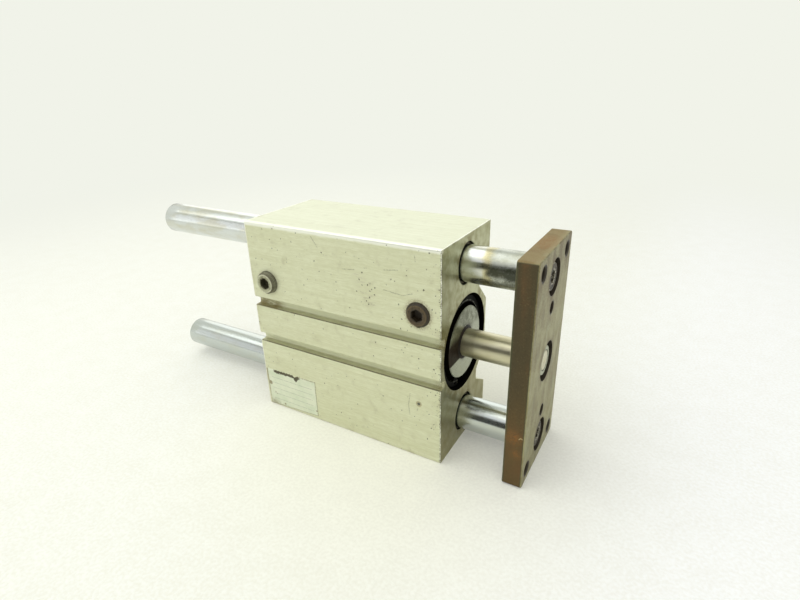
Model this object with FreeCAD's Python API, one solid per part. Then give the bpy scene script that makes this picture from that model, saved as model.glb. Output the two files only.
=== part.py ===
# Guided pneumatic cylinder: one air cylinder between two guide rods, in one extruded block.
#
# Millimetres. X runs along the rods and points out towards the tool plate, Y runs across the
# block and Z up its tall side. The origin is the centre of the face that the block rests on.
# The port side of the block faces -Y.

import FreeCAD, Part
import math
import os

Vector = FreeCAD.Vector
along_x = Vector(1, 0, 0)

# Travel
stroke = 100.0
rest_extension = 33.3          # how far out the model stands
retracted_gap = 10.0           # block to tool plate when fully in
stop_gap = 0.3                 # bumper to cover at either end of the stroke

# Clearances
running_clearance = 0.05       # radial, between round parts that slide
seat_clearance = 0.02          # radial, between round parts that are fixed
face_clearance = 0.1           # along the axis, between parts in one stack

# Block
body_width = 78.0
body_height = 156.0
body_edge_radius = 1.5
face_edge_chamfer = 0.4        # round the mouths of bores and holes

# Far side of the block: two wide hollows with a land between them
hollow_depth = 17.0
hollow_lip_offset = 52.6       # cylinder axis to the outer lip
hollow_floor_offset = 38.2     # cylinder axis to the middle of the floor
hollow_floor_height = 8.6
land_depth = 2.7               # the land stands back from the far face by this
hollow_edge_radius = 1.0

# Two grooves for position sensors in the port side
sensor_groove_offset = 15.4    # cylinder axis to groove centre
sensor_groove_width = 6.0
sensor_groove_depth = 5.3
sensor_groove_lip_radius = 2.4
sensor_groove_floor_radius = 1.3

# Cylinder bore and the seats of the two covers
bore_dia = 63.0
cover_seat_dia = 66.0
mouth_dia = 69.2               # outer edge of the lead-in chamfer
cover_land = 7.3               # sealing land of a cover, along the axis
front_nose = 9.5               # a cover's nose reaches past its seat by this
rear_nose = 1.5
nose_dia = 56.0

# Retaining rings that hold the covers in
ring_depth = 2.6               # block face to the ring
ring_thickness = 2.5
ring_groove_dia = 69.0
ring_width = 6.2               # opposite the gap
ring_end_width = 4.4           # beside the gap
ring_gap = 13.0
ring_lug_radius = 4.2
ring_lug_hole_dia = 2.6

# Front cover
hub_dia = 51.6
hub_recess = 0.3               # block face to the hub's face
cover_edge_chamfer = 0.5
cover_ring_section = 3.0       # the O-rings on both covers
wiper_outer_dia = 24.4
wiper_depth = 4.0
wiper_proud = 0.8
rod_seal_outer_dia = 28.0
rod_seal_length = 6.0
cover_web = 2.0                # wall between the wiper, the rod seal and the rod bush
rod_bush_outer_dia = 23.0

# Piston
piston_body_length = 18.4
piston_side_gap = 0.5
bumper_thickness = 3.5
bumper_proud = 1.5
bumper_inner_dia = 38.0
bumper_outer_dia = 50.0
piston_land = 5.5              # end face to the first groove
piston_seal_width = 4.2
piston_seal_depth = 4.0
magnet_width = 2.8
magnet_depth = 4.5
wear_ring_width = 3.0
wear_ring_depth = 1.6
piston_rib = 1.1               # between grooves
screw_head_recess = 0.4        # piston face to the head of the piston screw
piston_spigot_dia = 14.0
piston_spigot_length = 5.0
piston_ring_section = 2.4      # O-ring between the rod and the piston
piston_screw_pocket_dia = 19.0
piston_chamfer = 0.8

# Rods
piston_rod_dia = 20.0
rod_end_dia = 14.0             # threaded end that goes through the tool plate
guide_rod_dia = 25.0
guide_rod_length = 330.3
guide_pitch = 115.8            # between the guide rods
rod_chamfer = 1.0
tapped_depth = 28.0            # threads in the rods' ends

# Guide bushes
bush_wall = 2.0
bush_length = 38.0
bush_recess = 2.4

# Tool plate
plate_width = 72.0
plate_height = 155.0
plate_thickness = 13.0
plate_corner_radius = 2.0
plate_edge_radius = 0.6
plate_hole_pitch_y = 51.6
plate_hole_pitch_z = 136.5
plate_hole_dia = 8.5           # drilled for an M10 thread
plate_hole_mouth = 10.8
plate_hole_mouth_depth = 0.7   # a flat 120 degree mouth, as a tap drill leaves it
dowel_pitch = 75.6
dowel_dia = 8.0
dowel_chamfer = 0.4
counterbore_depth = 8.0
guide_counterbore_dia = 23.6
centre_counterbore_dia = 27.0

# Screws and the round nut
screw_dia = 12.0
screw_clearance = 0.3
screw_head_dia = 18.0
screw_head_height = 7.0
screw_key = 8.0                # across the flats of the socket
socket_depth = 4.5
screw_grip = 20.0              # length of thread in a rod
nut_dia = 20.2
nut_thickness = 6.8

# Ports and their plugs
port_dia = 16.7
port_inset = 16.2              # from a block end to the port's centre
port_offset = 33.5             # cylinder axis to the port's centre
port_depth = 14.0
air_passage_dia = 5.0
air_passage_drop = 6.6         # port centre to passage centre
plug_length = 11.0
plug_face_dia = 13.3
plug_taper = 2.0
plug_key = 8.0
front_plug_proud = 2.2
rear_plug_proud = 4.3

# Tapped mounting holes, M10 in the far side and M8 in the rear end
side_hole_pitch_x = 100.0
mount_hole_pitch_z = 130.0
side_hole_dia = 8.5
side_hole_depth = 18.0
rear_hole_pitch_y = 56.0
rear_hole_dia = 6.8
rear_hole_depth = 15.0

# Worked out from the above
seat_depth = ring_depth + ring_thickness + face_clearance + cover_land
front_stop_depth = seat_depth + front_nose
rear_stop_depth = seat_depth + rear_nose
piston_length = piston_body_length + 2 * bumper_proud
body_length = front_stop_depth + rear_stop_depth + piston_length + stroke + 2 * stop_gap
front_face = body_length / 2
rear_face = -body_length / 2
near_face = -body_width / 2
far_face = body_width / 2
axis_z = body_height / 2
guide_heights = [axis_z - guide_pitch / 2, axis_z + guide_pitch / 2]
plate_back = front_face + retracted_gap + rest_extension
plate_front = plate_back + plate_thickness
counterbore_floor = plate_front - counterbore_depth
guide_rod_rear = plate_back - guide_rod_length
piston_back = rear_face + rear_stop_depth + stop_gap + rest_extension + bumper_proud
piston_front = piston_back + piston_body_length
piston_spigot_end = piston_front - piston_spigot_length
piston_web_back = piston_back + screw_head_recess + screw_head_height
bush_inner_radius = guide_rod_dia / 2 + running_clearance
bush_outer_radius = guide_rod_dia / 2 + bush_wall
guide_bore_radius = bush_outer_radius + seat_clearance
seat_radius = cover_seat_dia / 2
rod_seal_back = front_face - hub_recess - wiper_depth - cover_web - rod_seal_length
rod_bush_end = rod_seal_back - cover_web
port_height = axis_z + port_offset


def rod_x(start, end, radius, z=axis_z, y=0.0):
    # round bar along X between two stations
    return Part.makeCylinder(radius, end - start, Vector(start, y, z), along_x)


def ring_x(start, end, outer_radius, inner_radius, z=axis_z):
    return rod_x(start, end, outer_radius, z).cut(rod_x(start, end, inner_radius, z))


def cone_x(start, end, start_radius, end_radius, z=axis_z, y=0.0):
    return Part.makeCone(start_radius, end_radius, end - start, Vector(start, y, z), along_x)


def turned_x(profile, z=axis_z):
    # closed profile of (station, radius) corners, turned about a line along X
    corners = [Vector(station, 0, z + radius) for station, radius in profile]
    face = Part.Face(Part.makePolygon(corners + corners[:1]))
    return face.revolve(Vector(0, 0, z), along_x, 360)


def o_ring_x(station, middle_radius, section_dia, z=axis_z):
    return Part.makeTorus(middle_radius, section_dia / 2, Vector(station, 0, z), along_x)


def hexagon_x(start, end, key, z=axis_z, y=0.0):
    corners = []
    for step in range(6):
        angle = math.radians(60 * step + 90)
        reach = key / math.sqrt(3)
        corners.append(Vector(start, y + reach * math.cos(angle), z + reach * math.sin(angle)))
    return Part.Face(Part.makePolygon(corners + corners[:1])).extrude(along_x * (end - start))


def drilled(solid, tools):
    for tool in tools:
        solid = solid.cut(tool)
    return solid


def edges_along_x(solid, places, tolerance=0.01):
    # edges parallel to X that pass through any of the (y, z) places
    found = []
    for edge in solid.Edges:
        first = edge.Vertexes[0].Point
        last = edge.Vertexes[-1].Point
        if abs(first.y - last.y) > tolerance or abs(first.z - last.z) > tolerance:
            continue
        for y, z in places:
            if abs(first.y - y) < tolerance and abs(first.z - z) < tolerance:
                found.append(edge)
    return found


# Block


def hollow_outline(side):
    # corners of one hollow, from its outer lip to the land; side is 1 above the axis, -1 below
    floor_y = far_face - hollow_depth
    outer_floor = hollow_floor_offset + hollow_floor_height / 2
    inner_floor = hollow_floor_offset - hollow_floor_height / 2
    land_edge = inner_floor - (hollow_depth - land_depth)
    return [
        (far_face, axis_z + side * hollow_lip_offset),
        (floor_y, axis_z + side * outer_floor),
        (floor_y, axis_z + side * inner_floor),
        (far_face - land_depth, axis_z + side * land_edge),
    ]


def body_outline():
    upper = hollow_outline(1)
    lower = hollow_outline(-1)[::-1]
    near = [(far_face, 0), (near_face, 0), (near_face, body_height), (far_face, body_height)]
    return near + upper + lower


def sensor_groove(side):
    centre = axis_z + side * sensor_groove_offset
    floor_y = near_face + sensor_groove_depth
    low = centre - sensor_groove_width / 2
    cutter = Part.makeBox(
        body_length, sensor_groove_depth, sensor_groove_width, Vector(rear_face, near_face, low)
    )
    floor_edges = edges_along_x(cutter, [(floor_y, low), (floor_y, low + sensor_groove_width)])
    return cutter.makeFillet(sensor_groove_floor_radius, floor_edges)


def cover_bore(face, direction):
    # seat, retaining ring groove and lead-in of one end; direction points into the block
    def station(depth):
        return face + direction * depth

    lead_in = (mouth_dia - cover_seat_dia) / 2
    groove_radius = ring_groove_dia / 2
    far_side = ring_depth + ring_thickness + face_clearance
    profile = [
        (station(0), 0),
        (station(0), mouth_dia / 2),
        (station(lead_in), seat_radius),
        (station(ring_depth), seat_radius),
        (station(ring_depth), groove_radius),
        (station(far_side), groove_radius),
        (station(far_side), seat_radius),
        (station(seat_depth), seat_radius),
        (station(seat_depth), 0),
    ]
    return turned_x(profile)


def guide_bore(z):
    mouth = guide_bore_radius + face_edge_chamfer
    profile = [
        (rear_face, 0),
        (rear_face, mouth),
        (rear_face + face_edge_chamfer, guide_bore_radius),
        (front_face - face_edge_chamfer, guide_bore_radius),
        (front_face, mouth),
        (front_face, 0),
    ]
    return turned_x(profile, z)


def port(x):
    hole = Part.makeCylinder(port_dia / 2, port_depth, Vector(x, near_face, port_height), Vector(0, 1, 0))
    passage_height = port_height - air_passage_drop
    reach = nose_dia / 2 + seat_clearance
    inner_y = -math.sqrt(max(reach ** 2 - (passage_height - axis_z) ** 2, 1.0))
    start = Vector(x, near_face, passage_height)
    passage = Part.makeCylinder(air_passage_dia / 2, inner_y - near_face, start, Vector(0, 1, 0))
    return [hole, passage]


def mounting_holes():
    holes = []
    for z in (axis_z - mount_hole_pitch_z / 2, axis_z + mount_hole_pitch_z / 2):
        for x in (-side_hole_pitch_x / 2, side_hole_pitch_x / 2):
            start = Vector(x, far_face, z)
            holes.append(Part.makeCylinder(side_hole_dia / 2, side_hole_depth, start, Vector(0, -1, 0)))
        for y in (-rear_hole_pitch_y / 2, rear_hole_pitch_y / 2):
            holes.append(rod_x(rear_face, rear_face + rear_hole_depth, rear_hole_dia / 2, z, y))
    return holes


def body_block():
    outline = body_outline()
    corners = [Vector(rear_face, y, z) for y, z in outline]
    block = Part.Face(Part.makePolygon(corners + corners[:1])).extrude(along_x * body_length)
    outer = edges_along_x(block, outline[:4])
    block = block.makeFillet(body_edge_radius, outer)
    block = block.makeFillet(hollow_edge_radius, edges_along_x(block, outline[4:]))
    for side in (-1, 1):
        block = block.cut(sensor_groove(side))
        lip = axis_z + side * sensor_groove_offset + sensor_groove_width / 2
        block = block.makeFillet(sensor_groove_lip_radius, edges_along_x(block, [(near_face, lip)]))
    tools = [rod_x(rear_face, front_face, bore_dia / 2)]
    tools += [cover_bore(front_face, -1), cover_bore(rear_face, 1)]
    tools += [guide_bore(z) for z in guide_heights]
    tools += port(front_face - port_inset) + port(rear_face + port_inset)
    return drilled(block, tools + mounting_holes())


# Covers


def cover_ring_station(face, direction):
    return face + direction * (seat_depth - cover_land / 2)


def cover_ring_groove(face, direction):
    station = cover_ring_station(face, direction)
    half = cover_ring_section / 2 + face_clearance
    floor = seat_radius - cover_ring_section
    return ring_x(station - half, station + half, seat_radius + 1, floor)


def front_cover():
    back_of_ring = front_face - ring_depth - ring_thickness - face_clearance
    seat = front_face - seat_depth
    nose_end = seat - front_nose
    outer = seat_radius - seat_clearance
    hub_face = front_face - hub_recess
    profile = [
        (nose_end, 0),
        (nose_end, nose_dia / 2 - cover_edge_chamfer),
        (nose_end + cover_edge_chamfer, nose_dia / 2),
        (seat, nose_dia / 2),
        (seat, outer),
        (back_of_ring, outer),
        (back_of_ring, hub_dia / 2),
        (hub_face - cover_edge_chamfer, hub_dia / 2),
        (hub_face, hub_dia / 2 - cover_edge_chamfer),
        (hub_face, 0),
    ]
    cover = turned_x(profile)
    tools = [
        rod_x(nose_end, hub_face, piston_rod_dia / 2 + screw_clearance),
        rod_x(hub_face - wiper_depth, hub_face, wiper_outer_dia / 2),
        rod_x(rod_seal_back, rod_seal_back + rod_seal_length, rod_seal_outer_dia / 2),
        rod_x(nose_end, rod_bush_end, rod_bush_outer_dia / 2),
        cover_ring_groove(front_face, -1),
    ]
    return drilled(cover, tools)


def rear_cover():
    back_of_ring = rear_face + ring_depth + ring_thickness + face_clearance
    seat = rear_face + seat_depth
    outer = seat_radius - seat_clearance
    profile = [
        (seat + rear_nose, 0),
        (seat + rear_nose, nose_dia / 2),
        (seat, nose_dia / 2),
        (seat, outer),
        (back_of_ring, outer),
        (back_of_ring, 0),
    ]
    return turned_x(profile).cut(cover_ring_groove(rear_face, 1))


def cover_o_ring(face, direction):
    middle = seat_radius - cover_ring_section / 2 - seat_clearance
    return o_ring_x(cover_ring_station(face, direction), middle, cover_ring_section - 2 * seat_clearance)


def retaining_ring(start):
    # eccentric inner circle, an open gap at the bottom and a lug with a hole on either side of it
    outer_radius = ring_groove_dia / 2 - face_clearance
    inner_radius = outer_radius - (ring_width + ring_end_width) / 2
    shift = (ring_width - ring_end_width) / 2
    end = start + ring_thickness
    ring = rod_x(start, end, outer_radius)
    ring = ring.cut(rod_x(start, end, inner_radius, axis_z - shift))
    gap = Part.makeBox(ring_thickness, ring_gap, outer_radius, Vector(start, -ring_gap / 2, axis_z - outer_radius))
    ring = ring.cut(gap)
    lug_y = ring_gap / 2 + ring_lug_radius
    lug_radius_out = outer_radius - ring_lug_radius - face_clearance
    lug_z = axis_z - math.sqrt(lug_radius_out ** 2 - lug_y ** 2)
    for side in (-1, 1):
        ring = ring.fuse(rod_x(start, end, ring_lug_radius, lug_z, side * lug_y))
    for side in (-1, 1):
        ring = ring.cut(rod_x(start, end, ring_lug_hole_dia / 2, lug_z, side * lug_y))
    return ring.removeSplitter()


def rod_wiper():
    hub_face = front_face - hub_recess
    inner = piston_rod_dia / 2 + running_clearance
    outer = wiper_outer_dia / 2 - seat_clearance
    profile = [
        (hub_face - wiper_depth, inner),
        (hub_face - wiper_depth, outer),
        (hub_face, outer),
        (hub_face + wiper_proud, inner + wiper_proud),
        (hub_face + wiper_proud, inner),
    ]
    return turned_x(profile)


def rod_seal():
    # lip seal with an open groove towards the pressure side
    start = rod_seal_back + face_clearance
    end = rod_seal_back + rod_seal_length - face_clearance
    inner = piston_rod_dia / 2 + running_clearance
    outer = rod_seal_outer_dia / 2 - seat_clearance
    middle = (inner + outer) / 2
    lip = (outer - inner) / 3
    profile = [
        (end, inner),
        (end, outer),
        (start, outer),
        (start, outer - lip / 2),
        ((start + end) / 2, middle),
        (start, inner + lip / 2),
        (start, inner),
    ]
    return turned_x(profile)


def rod_bush():
    start = front_face - front_stop_depth
    outer = rod_bush_outer_dia / 2 - seat_clearance
    inner = piston_rod_dia / 2 + running_clearance
    return ring_x(start, rod_bush_end, outer, inner)


# Piston


def piston_grooves():
    # stations of the seal, magnet and wear ring grooves: (start, end, depth)
    seal_start = piston_back + piston_land
    seal_end = seal_start + piston_seal_width
    magnet_start = seal_end + piston_rib
    magnet_end = magnet_start + magnet_width
    wear_start = magnet_end + piston_rib
    wear_end = wear_start + wear_ring_width
    return {
        "seal": (seal_start, seal_end, piston_seal_depth),
        "magnet": (magnet_start, magnet_end, magnet_depth),
        "wear": (wear_start, wear_end, wear_ring_depth),
    }


def piston():
    outer = bore_dia / 2 - piston_side_gap
    profile = [
        (piston_back, 0),
        (piston_back, outer - piston_chamfer),
        (piston_back + piston_chamfer, outer),
        (piston_front - piston_chamfer, outer),
        (piston_front, outer - piston_chamfer),
        (piston_front, 0),
    ]
    body = turned_x(profile)
    bumper_seat = bumper_thickness - bumper_proud
    spigot_radius = piston_spigot_dia / 2 + seat_clearance
    tools = [
        ring_x(start, end, outer + 1, outer - depth) for start, end, depth in piston_grooves().values()
    ]
    for start in (piston_back, piston_front - bumper_seat):
        tools.append(ring_x(start, start + bumper_seat, bumper_outer_dia / 2, bumper_inner_dia / 2))
    tools += [
        rod_x(piston_back, piston_web_back, piston_screw_pocket_dia / 2),
        rod_x(piston_web_back, piston_front, screw_dia / 2 + screw_clearance),
        rod_x(piston_spigot_end, piston_front, spigot_radius),
        rod_x(piston_front - piston_ring_section, piston_front, spigot_radius + piston_ring_section),
    ]
    return drilled(body, tools)


def piston_bumpers():
    seat = bumper_thickness - bumper_proud
    outer = bumper_outer_dia / 2 - seat_clearance
    inner = bumper_inner_dia / 2 + seat_clearance
    rear = ring_x(piston_back - bumper_proud, piston_back + seat, outer, inner)
    front = ring_x(piston_front - seat, piston_front + bumper_proud, outer, inner)
    return Part.makeCompound([rear, front])


def piston_band(name, outer_gap):
    start, end, depth = piston_grooves()[name]
    inner = bore_dia / 2 - piston_side_gap - depth + seat_clearance
    return ring_x(start + face_clearance, end - face_clearance, bore_dia / 2 - outer_gap, inner)


def piston_rod_o_ring():
    section = piston_ring_section - 2 * seat_clearance
    middle = piston_spigot_dia / 2 + seat_clearance + piston_ring_section / 2
    return o_ring_x(piston_front - piston_ring_section / 2, middle, section)


def cap_screw(head_start, direction, grip):
    # low-head socket screw; the head grows from head_start, the shank goes the other way
    head_end = head_start + direction * screw_head_height
    low, high = sorted((head_start, head_end))
    head = rod_x(low, high, screw_head_dia / 2)
    rim = [edge for edge in head.Edges if abs(edge.CenterOfMass.x - head_end) < 0.01]
    head = head.makeChamfer(face_edge_chamfer, rim)
    shank_end = head_start - direction * grip
    low, high = sorted((head_start, shank_end))
    screw = head.fuse(rod_x(low, high, screw_dia / 2))
    low, high = sorted((head_end, head_end - direction * socket_depth))
    return screw.cut(hexagon_x(low, high, screw_key)).removeSplitter()


def piston_screw():
    web = piston_spigot_end - piston_web_back
    return cap_screw(piston_web_back, -1, web + screw_grip)


# Rods and tool plate


def tapped_hole(start, direction, depth, z=axis_z):
    low, high = sorted((start, start + direction * depth))
    return rod_x(low, high, screw_dia / 2 + seat_clearance, z)


def piston_rod():
    radius = piston_rod_dia / 2
    nut_face = counterbore_floor + nut_thickness
    profile = [
        (piston_spigot_end, 0),
        (piston_spigot_end, piston_spigot_dia / 2),
        (piston_front, piston_spigot_dia / 2),
        (piston_front, radius),
        (plate_back, radius),
        (plate_back, rod_end_dia / 2),
        (nut_face, rod_end_dia / 2),
        (nut_face, 0),
    ]
    return turned_x(profile).cut(tapped_hole(piston_spigot_end, 1, tapped_depth))


def rod_end_nut():
    end = counterbore_floor + nut_thickness
    radius = nut_dia / 2
    inner = rod_end_dia / 2 + seat_clearance
    profile = [
        (counterbore_floor, inner),
        (counterbore_floor, radius),
        (end - face_edge_chamfer, radius),
        (end, radius - face_edge_chamfer),
        (end, inner),
    ]
    return turned_x(profile)


def guide_rod(z):
    radius = guide_rod_dia / 2
    profile = [
        (guide_rod_rear, 0),
        (guide_rod_rear, radius - rod_chamfer),
        (guide_rod_rear + rod_chamfer, radius),
        (plate_back, radius),
        (plate_back, 0),
    ]
    return turned_x(profile, z).cut(tapped_hole(plate_back, -1, tapped_depth, z))


def guide_bushes(face, direction):
    start, end = sorted((face + direction * bush_recess, face + direction * (bush_recess + bush_length)))
    bushes = [ring_x(start, end, bush_outer_radius, bush_inner_radius, z) for z in guide_heights]
    return Part.makeCompound(bushes)


def guide_rod_screws():
    grip = plate_thickness - counterbore_depth + screw_grip
    screws = []
    for z in guide_heights:
        screw = cap_screw(counterbore_floor, 1, grip)
        screw.translate(Vector(0, 0, z - axis_z))
        screws.append(screw)
    return Part.makeCompound(screws)


def countersunk(radius, mouth_radius, mouth_depth, z, y=0.0):
    # through hole in the tool plate with a conical mouth on its front face
    hole = rod_x(plate_back, plate_front, radius, z, y)
    return hole.fuse(cone_x(plate_front - mouth_depth, plate_front, radius, mouth_radius, z, y))


def counterbored(radius, counterbore_radius, z):
    through = rod_x(plate_back, plate_front, radius, z)
    return through.fuse(rod_x(counterbore_floor, plate_front, counterbore_radius, z))


def tool_plate():
    low = Vector(plate_back, -plate_width / 2, axis_z - plate_height / 2)
    plate = Part.makeBox(plate_thickness, plate_width, plate_height, low)
    corners = []
    for y in (-plate_width / 2, plate_width / 2):
        for z in (axis_z - plate_height / 2, axis_z + plate_height / 2):
            corners.append((y, z))
    plate = plate.makeFillet(plate_corner_radius, edges_along_x(plate, corners))
    rims = []
    for face in plate.Faces:
        if abs(face.CenterOfMass.x - plate_back) < 0.01 or abs(face.CenterOfMass.x - plate_front) < 0.01:
            rims += face.Edges
    plate = plate.makeFillet(plate_edge_radius, rims)
    tools = []
    for z in (axis_z - plate_hole_pitch_z / 2, axis_z + plate_hole_pitch_z / 2):
        for y in (-plate_hole_pitch_y / 2, plate_hole_pitch_y / 2):
            tools.append(countersunk(plate_hole_dia / 2, plate_hole_mouth / 2, plate_hole_mouth_depth, z, y))
    for z in (axis_z - dowel_pitch / 2, axis_z + dowel_pitch / 2):
        tools.append(countersunk(dowel_dia / 2, dowel_dia / 2 + dowel_chamfer, dowel_chamfer, z))
    for z in guide_heights:
        tools.append(counterbored(screw_dia / 2 + screw_clearance, guide_counterbore_dia / 2, z))
    tools.append(counterbored(rod_end_dia / 2 + seat_clearance, centre_counterbore_dia / 2, axis_z))
    return drilled(plate, tools)


# Port plugs


def port_plug(x, proud):
    # straight threaded plug with a tapered nose and a hexagon socket, modelled along X and turned to -Y
    radius = port_dia / 2 - seat_clearance
    profile = [
        (proud - plug_length, 0),
        (proud - plug_length, radius),
        (proud - plug_taper, radius),
        (proud, plug_face_dia / 2),
        (proud, 0),
    ]
    plug = turned_x(profile, 0).cut(hexagon_x(proud - socket_depth - face_clearance, proud, plug_key, 0))
    plug.rotate(Vector(0, 0, 0), Vector(0, 0, 1), -90)
    plug.translate(Vector(x, near_face, port_height))
    return plug


front_ring_start = front_face - ring_depth - ring_thickness
rear_ring_start = rear_face + ring_depth

parts = {
    "body_block": body_block(),
    "front_cover": front_cover(),
    "front_cover_o_ring": cover_o_ring(front_face, -1),
    "front_retaining_ring": retaining_ring(front_ring_start),
    "rod_wiper": rod_wiper(),
    "rod_seal": rod_seal(),
    "rod_bush": rod_bush(),
    "rear_cover": rear_cover(),
    "rear_cover_o_ring": cover_o_ring(rear_face, 1),
    "rear_retaining_ring": retaining_ring(rear_ring_start),
    "guide_bushes_front": guide_bushes(front_face, -1),
    "guide_bushes_rear": guide_bushes(rear_face, 1),
    "port_plug_front": port_plug(front_face - port_inset, front_plug_proud),
    "port_plug_rear": port_plug(rear_face + port_inset, rear_plug_proud),
    "piston": piston(),
    "piston_seal": piston_band("seal", running_clearance),
    "piston_magnet": piston_band("magnet", piston_side_gap),
    "piston_wear_ring": piston_band("wear", running_clearance),
    "piston_bumpers": piston_bumpers(),
    "piston_screw": piston_screw(),
    "piston_rod_o_ring": piston_rod_o_ring(),
    "piston_rod": piston_rod(),
    "rod_end_nut": rod_end_nut(),
    "guide_rod_lower": guide_rod(guide_heights[0]),
    "guide_rod_upper": guide_rod(guide_heights[1]),
    "guide_rod_screws": guide_rod_screws(),
    "tool_plate": tool_plate(),
}

os.makedirs("parts", exist_ok=True)
for name, shape in parts.items():
    shape.exportStep("parts/" + name + ".step")
    box = shape.BoundBox
    print(name, len(shape.Solids), "solids", round(shape.Volume), "mm3", shape.isValid(), end=" ")
    print([round(value, 2) for value in (box.XMin, box.YMin, box.ZMin, box.XMax, box.YMax, box.ZMax)])
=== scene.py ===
import bpy
import math
from functools import reduce
import numpy as np
from mathutils import Euler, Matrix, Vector


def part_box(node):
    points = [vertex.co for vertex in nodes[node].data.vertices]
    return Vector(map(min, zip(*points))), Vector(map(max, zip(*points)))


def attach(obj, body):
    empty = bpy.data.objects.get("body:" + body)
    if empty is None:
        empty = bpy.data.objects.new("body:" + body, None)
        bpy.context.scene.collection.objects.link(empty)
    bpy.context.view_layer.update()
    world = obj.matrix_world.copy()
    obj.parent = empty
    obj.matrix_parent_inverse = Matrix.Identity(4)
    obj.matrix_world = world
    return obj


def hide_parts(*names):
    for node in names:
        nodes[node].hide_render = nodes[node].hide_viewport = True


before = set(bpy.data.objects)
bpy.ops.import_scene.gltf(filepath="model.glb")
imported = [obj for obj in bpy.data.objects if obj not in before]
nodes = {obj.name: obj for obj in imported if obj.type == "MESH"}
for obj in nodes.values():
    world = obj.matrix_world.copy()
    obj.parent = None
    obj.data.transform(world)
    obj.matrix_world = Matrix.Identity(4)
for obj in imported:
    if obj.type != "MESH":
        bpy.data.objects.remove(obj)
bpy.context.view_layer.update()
perMetre = 1000.0        # shaders read places in millimetres, meshes hold metres
print("frame loaded,", len(nodes), "nodes")


def boxInMillimetres(node):
    low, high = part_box(node)
    return np.array(low) * perMetre, np.array(high) * perMetre


# Places that more than one finish or piece needs
blockLow, blockHigh = boxInMillimetres("body_block")
plateLow, plateHigh = boxInMillimetres("tool_plate")
upperRodLow, upperRodHigh = boxInMillimetres("guide_rod_upper")
lowerRodLow, lowerRodHigh = boxInMillimetres("guide_rod_lower")
pistonRodLow, pistonRodHigh = boxInMillimetres("piston_rod")
cylinderZ = (pistonRodLow[2] + pistonRodHigh[2]) / 2
upperRodZ = (upperRodLow[2] + upperRodHigh[2]) / 2
lowerRodZ = (lowerRodLow[2] + lowerRodHigh[2]) / 2
frontX, rearX = blockHigh[0], blockLow[0]
nearY = blockLow[1]
ports = {"fromEnd": 16.2, "aboveAxis": 33.5, "radius": 8.35}
portFrontX, portRearX = frontX - ports["fromEnd"], rearX + ports["fromEnd"]
portZ = cylinderZ + ports["aboveAxis"]


# Shader maths: an expression on wires adds its own nodes


def tint(red, green, blue):
    # display colour 0..255 to the linear values that a shader takes
    channels = np.array([red, green, blue]) / 255
    linear = np.where(channels < 0.04045, channels / 12.92, ((channels + 0.055) / 1.055) ** 2.4)
    return tuple(float(value) for value in linear)


def tints(**colours):
    return {name: tint(*channels) for name, channels in colours.items()}


class Wire:
    # one output socket of a material or world; operators on it add Math nodes
    def __init__(self, graph, socket):
        self.graph = graph
        self.socket = socket

    def other(self, name):
        return Wire(self.graph, self.socket.node.outputs[name])

    def maths(self, operation, *values):
        return self.graph.node("ShaderNodeMath", {"operation": operation}, dict(enumerate(values)))

    def __add__(self, value):
        return self.maths("ADD", self, value)

    def __radd__(self, value):
        return self.maths("ADD", value, self)

    def __sub__(self, value):
        return self.maths("SUBTRACT", self, value)

    def __rsub__(self, value):
        return self.maths("SUBTRACT", value, self)

    def __mul__(self, value):
        return self.maths("MULTIPLY", self, value)

    def __rmul__(self, value):
        return self.maths("MULTIPLY", value, self)

    def __abs__(self):
        return self.maths("ABSOLUTE", self)

    def least(self, value):
        return self.maths("MINIMUM", self, value)

    def most(self, value):
        return self.maths("MAXIMUM", self, value)

    def sine(self):
        return self.maths("SINE", self)

    def rise(self, start, end):
        # 0 at start, 1 at end, smooth between; start may be the larger
        return self.graph.node(
            "ShaderNodeMapRange", {"interpolation_type": "SMOOTHSTEP"}, {0: self, 1: start, 2: end}
        )

    def band(self, centre, inner, outer):
        # 1 within inner of the centre, 0 beyond outer
        return abs(self - centre).rise(outer, inner)


class Graph:
    # the nodes of a material or a world
    def __init__(self, tree):
        self.tree = tree

    def node(self, kind, settings=None, inputs=None, output=0):
        made = self.tree.nodes.new(kind)
        for key, value in (settings or {}).items():
            setattr(made, key, value)
        for key, value in (inputs or {}).items():
            self.feed(made.inputs[key], value)
        return Wire(self, made.outputs[output])

    def feed(self, socket, value):
        if isinstance(value, Wire):
            self.tree.links.new(value.socket, socket)
        elif socket.type == "RGBA":
            socket.default_value = (*value, 1.0)
        else:
            socket.default_value = value

    def vector(self, operation, first, second, output=0):
        return self.node("ShaderNodeVectorMath", {"operation": operation}, {0: first, 1: second}, output)

    def scaled(self, vector, factor):
        return self.node("ShaderNodeVectorMath", {"operation": "SCALE"}, {0: vector, "Scale": factor})


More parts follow.
